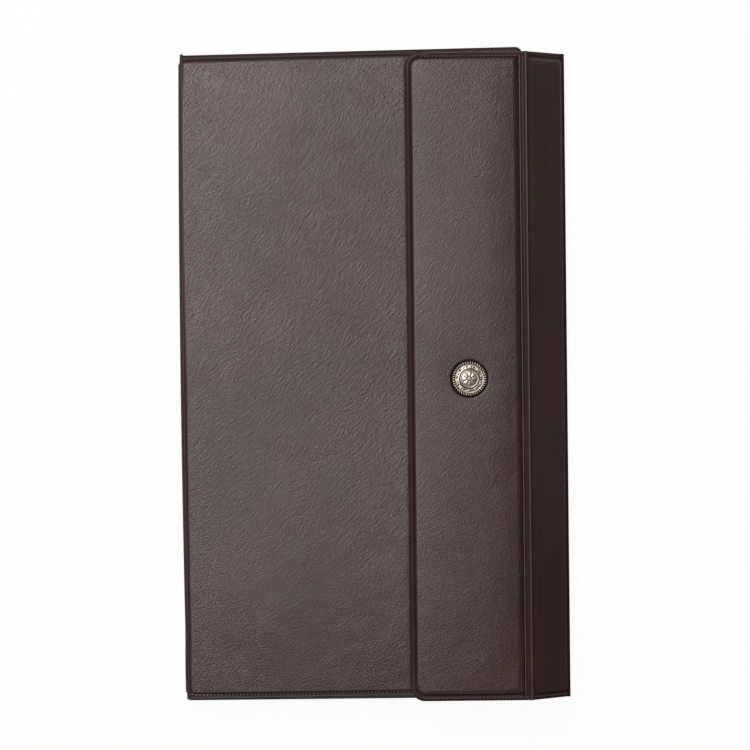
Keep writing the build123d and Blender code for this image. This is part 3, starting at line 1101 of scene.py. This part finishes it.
stitch_row = bpy.data.node_groups.new("pressed stitches", "GeometryNodeTree")
socket(stitch_row, "Row", "Geometry")
pitch_input = socket(stitch_row, "Pitch", "Float")
length_input = socket(stitch_row, "Stitch length", "Float")
width_input = socket(stitch_row, "Stitch width", "Float")
hide_input = socket(stitch_row, "Hide", "Material")
socket(stitch_row, "Stitches", "Geometry", "OUTPUT")
given = add(stitch_row, "NodeGroupInput").outputs
line = add(stitch_row, "GeometryNodeMeshToCurve", {"Mesh": given["Row"]})
spots = add(stitch_row, "GeometryNodeCurveToPoints", {"Curve": line.outputs[0]}, mode="LENGTH")
stitch_row.links.new(given["Pitch"], spots.inputs["Length"])
bead = add(stitch_row, "GeometryNodeMeshUVSphere", {"Segments": 8, "Rings": 6, "Radius": 0.5})
size = add(
    stitch_row,
    "ShaderNodeCombineXYZ",
    {"X": given["Stitch width"], "Y": given["Stitch width"], "Z": given["Stitch length"]},
)
beads = add(
    stitch_row,
    "GeometryNodeInstanceOnPoints",
    {
        "Points": spots.outputs["Points"],
        "Instance": bead.outputs["Mesh"],
        "Rotation": spots.outputs["Rotation"],
        "Scale": size.outputs[0],
    },
)
give_pieces(stitch_row, beads.outputs[0], given["Hide"])

# The beads are coloured much lighter than the hide: a painted highlight, which also lifts the front row out
# of the pad wall's shade.
lit_stitch_hide = leatherette(
    "painted stitch highlight",
    (0.145, 0.112, 0.108),
    brown_weld_and_shade,
    grain=0.3,
    crease=0.1,
    gloss=0.36,
    sheen=0.80,
)
stitch_pitch = 0.00125
stitch_length = 0.00092
stitch_width = 0.00070


def made_plain(piece, modifier):
    """Gives a piece the mesh that its modifier makes of it."""
    bpy.context.view_layer.update()
    shown = piece.evaluated_get(bpy.context.evaluated_depsgraph_get())
    plain = bpy.data.meshes.new_from_object(shown)
    piece.modifiers.remove(modifier)
    piece.data = plain


def stitches(name, leaf, runs, body, raised, dark):
    """Rows of pressed stitches along straight runs of a leaf's border, as one plain mesh. dark sets their
    weld mark, which tones down their painted highlight.
    """
    points = []
    edges = []
    for start, end in runs:
        for share in np.linspace(0, 1, 25):
            x, y = np.array(start) + np.subtract(end, start) * share
            if share:
                edges.append((len(points) - 1, len(points)))
            points.append(leaf.put(x, y, np.array(0.42)))
    points = np.array(points)
    if raised is not None:
        points = settle(points, raised)
    mesh = bpy.data.meshes.new(name)
    mesh.from_pydata((points / 1000).tolist(), edges, [])
    row = placed(name, mesh)
    nodes = row.modifiers.new("stitches", "NODES")
    nodes.node_group = stitch_row
    nodes[pitch_input.identifier] = stitch_pitch
    nodes[length_input.identifier] = stitch_length
    nodes[width_input.identifier] = stitch_width
    nodes[hide_input.identifier] = lit_stitch_hide
    made_plain(row, nodes)
    set_mark(row.data, "weld", np.full(len(row.data.vertices), dark))
    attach(row, body)
    return row


# The front row keeps its painted highlight at full; the flap's and gusset's rows are toned down.
stitches("front_stitches", front_leaf, [((3.0, -109.6), (114.5, -109.6))], "front_cover", True, 0.0)
stitches(
    "flap_stitches",
    flap_leaf,
    [((3.6, 109.65), (35.4, 109.65)), ((3.6, -110.25), (35.4, -110.25))],
    "flap",
    None,
    0.65,
)
stitches("gusset_stitches", gusset_leaf, [((1.8, -110.15), (15.8, -110.15))], "gusset", None, 0.65)


# Press snap.
# A cast cap in antiqued white metal on a brass rivet, socket and ring, with the stud below.
# The band carries plain dots and beads, the medallion a rosette, and a rope runs round the rim.


def old_metal(name, bright, second, third, tarnish, gloss, shine):
    """Cast metal with tarnish left in its recesses and mottled, rubbed high places."""
    material, tree = finish_named(name)
    place = add(tree, "ShaderNodeTexCoord").outputs["Object"]
    spots = cloud(tree, place, 900.0, 3.0)
    scuffs = cloud(tree, place, 5200.0, 3.0)
    first = remap(tree, cloud(tree, place, 420.0, 2.0), (0.42, 0.6))
    other = remap(tree, spots, (0.5, 0.66))
    tone = mixed(tree, other, mixed(tree, first, (*bright, 1), (*second, 1)), (*third, 1))
    recess = add(tree, "ShaderNodeAttribute", attribute_name="recess").outputs["Fac"]
    dirt = remap(tree, maths(tree, "MULTIPLY_ADD", spots, 0.25, recess), (0.22, 0.75))
    colour = mixed(tree, dirt, tone, (*tarnish, 1))
    rough = remap(tree, scuffs, (0.3, 0.7), (gloss, gloss + 0.14))
    rough = maths(tree, "MULTIPLY_ADD", dirt, 0.25, rough)
    bump = add(tree, "ShaderNodeBump", {"Height": scuffs, "Strength": 0.5, "Distance": 0.00001})
    shader = add(
        tree,
        "ShaderNodeBsdfPrincipled",
        {"Base Color": colour, "Metallic": shine, "Roughness": rough, "Normal": bump.outputs[0]},
    )
    add(tree, "ShaderNodeOutputMaterial", {"Surface": shader.outputs[0]})
    return material


antique = old_metal(
    "antiqued white metal",
    (0.67, 0.61, 0.55),
    (0.47, 0.42, 0.30),
    (0.68, 0.48, 0.43),
    (0.020, 0.014, 0.010),
    gloss=0.3,
    shine=0.82,
)
cap_seat = 14.45
cap_radius = 6.25
cap_foot_radius = 5.95
cap_flange = 0.76
dots = 20
dots_radius = 4.2


def cap_relief(r, turn):
    """Height of the cap over its seat, and how deep in a recess each point lies."""
    dome = 1.24 + 0.6 * (1 - (r / 3.25) ** 2)
    petals = np.abs(np.cos(4 * turn)) ** 1.4
    ring = smooth((r - 0.7) / 0.4) * smooth((2.65 - r) / 0.5)
    rosette = 0.17 * petals * ring + 0.16 * smooth((0.75 - r) / 0.3)
    vein = 0.05 * np.exp(-((np.sin(4 * turn) / 0.12) ** 2)) * ring
    lip = 0.12 * np.exp(-(((r - 3.02) / 0.16) ** 2))
    centre = dome - 0.1 * smooth((2.9 - r) / 0.3) + rosette - vein + lip
    band = 1.16 - 0.1 * (r - 3.5)
    turns = turn * dots / (2 * math.pi) + 0.35
    wide = dots_radius * np.abs((turns + 0.5) % 1 - 0.5) * 2 * math.pi / dots
    dot = np.exp(-((np.hypot(wide, r - dots_radius) / 0.27) ** 4))
    odd = (np.round(turns) % 2) * 2 - 1
    band = band + 0.15 * dot * odd
    band = band + 0.05 * np.exp(-(((r - 3.66) / 0.09) ** 2)) + 0.05 * np.exp(-(((r - 4.82) / 0.09) ** 2))
    gap = np.exp(-(((r - 3.38) / 0.12) ** 2))
    height = np.where(r < 3.3, centre, band) - 0.2 * gap
    channel = smooth((r - 4.9) / 0.14)
    height = height * (1 - channel) + cap_flange * channel
    height = np.where(r > 6.0, cap_flange - 2.4 * np.maximum(r - 6.0, 0) ** 1.3, height)
    recess = 0.9 * gap + 1.0 * channel + 0.9 * dot * (odd < 0) + 0.4 * ring * (1 - petals) ** 2
    recess = recess + 0.5 * np.exp(-(((r - 2.78) / 0.1) ** 2)) + 0.6 * np.exp(-(((r - 0.78) / 0.09) ** 2))
    return height, np.clip(recess, 0, 1)


def turned_cap():
    """The cap as rings of points under its relief, closed below."""
    around = 240
    radii = ((0.08, 3.2, 38), (3.25, 5.1, 36), (5.2, cap_radius, 14))
    radii = np.concatenate([np.linspace(*band) for band in radii])
    turns = np.linspace(0, 2 * math.pi, around, endpoint=False)
    r, turn = np.meshgrid(radii, turns, indexing="ij")
    z, recess = cap_relief(r, turn)
    r = np.vstack((r, np.full(around, cap_radius), np.full(around, cap_foot_radius)))
    z = np.vstack((z, np.full(around, 0.25), np.zeros(around)))
    points = np.stack((snap_x + r * np.cos(turns), snap_y + r * np.sin(turns), cap_seat + z), axis=-1)
    m = len(r)
    faces = []
    for i in range(m - 1):
        for j in range(around):
            after = (j + 1) % around
            faces.append((i * around + j, (i + 1) * around + j, (i + 1) * around + after, i * around + after))
    faces += [tuple(range(around)), tuple(range(m * around - 1, (m - 1) * around - 1, -1))]
    mesh = bpy.data.meshes.new("decorated_cap")
    mesh.from_pydata((points.reshape(-1, 3) / 1000).tolist(), [], faces)
    set_mark(mesh, "recess", np.concatenate((recess.ravel(), np.full(2 * around, 0.8))))
    mesh.shade_smooth()
    return placed("decorated_cap", mesh)


decorated_cap = turned_cap()
decorated_cap.data.materials.append(antique)
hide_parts("snap_cap")
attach(decorated_cap, "flap")

rope = bpy.data.node_groups.new("rope rim", "GeometryNodeTree")
count_input = socket(rope, "Strands", "Int")
radius_input = socket(rope, "Rope radius", "Float")
lay_input = socket(rope, "Lay", "Float")
middle_input = socket(rope, "Middle", "Vector")
strand_input = socket(rope, "Strand size", "Vector")
metal_input = socket(rope, "Metal", "Material")
socket(rope, "Rope", "Geometry", "OUTPUT")
given = add(rope, "NodeGroupInput").outputs
circle = add(rope, "GeometryNodeMeshCircle", {"Vertices": given["Strands"], "Radius": given["Rope radius"]})
place = add(rope, "GeometryNodeInputPosition").outputs[0]
facing = add(rope, "FunctionNodeAlignRotationToVector", {"Vector": place}, axis="X", pivot_axis="Z")
lay = add(rope, "ShaderNodeCombineXYZ", {"Z": given["Lay"]})
turned = add(
    rope,
    "FunctionNodeRotateRotation",
    {"Rotation": facing.outputs[0], "Rotate By": lay.outputs[0]},
    rotation_space="LOCAL",
)
strand = add(rope, "GeometryNodeMeshUVSphere", {"Segments": 8, "Rings": 6, "Radius": 0.5})
strands = add(
    rope,
    "GeometryNodeInstanceOnPoints",
    {
        "Points": circle.outputs[0],
        "Instance": strand.outputs["Mesh"],
        "Rotation": turned.outputs[0],
        "Scale": given["Strand size"],
    },
)
moved = add(rope, "GeometryNodeTransform", {"Geometry": strands.outputs[0], "Translation": given["Middle"]})
give_pieces(rope, moved.outputs[0], given["Metal"])

rope_rim = placed("rope_rim", bpy.data.meshes.new("rope_rim"))
nodes = rope_rim.modifiers.new("rope", "NODES")
nodes.node_group = rope
nodes[count_input.identifier] = 42
nodes[radius_input.identifier] = 0.00543
nodes[lay_input.identifier] = math.radians(17)
nodes[middle_input.identifier] = (snap_x / 1000, snap_y / 1000, (cap_seat + 0.82) / 1000)
nodes[strand_input.identifier] = (0.00102, 0.00050, 0.00046)
nodes[metal_input.identifier] = antique
made_plain(rope_rim, nodes)
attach(rope_rim, "flap")

brass = old_metal(
    "rubbed brass",
    (0.70, 0.52, 0.26),
    (0.62, 0.45, 0.22),
    (0.72, 0.58, 0.34),
    (0.06, 0.035, 0.015),
    gloss=0.26,
    shine=1.0,
)
steel = old_metal(
    "spring steel",
    (0.56, 0.56, 0.57),
    (0.5, 0.5, 0.52),
    (0.6, 0.6, 0.6),
    (0.08, 0.07, 0.06),
    gloss=0.2,
    shine=1.0,
)
coat(("snap_rivet", "snap_socket", "snap_stud", "snap_eyelet"), brass)
coat(("snap_spring",), steel)
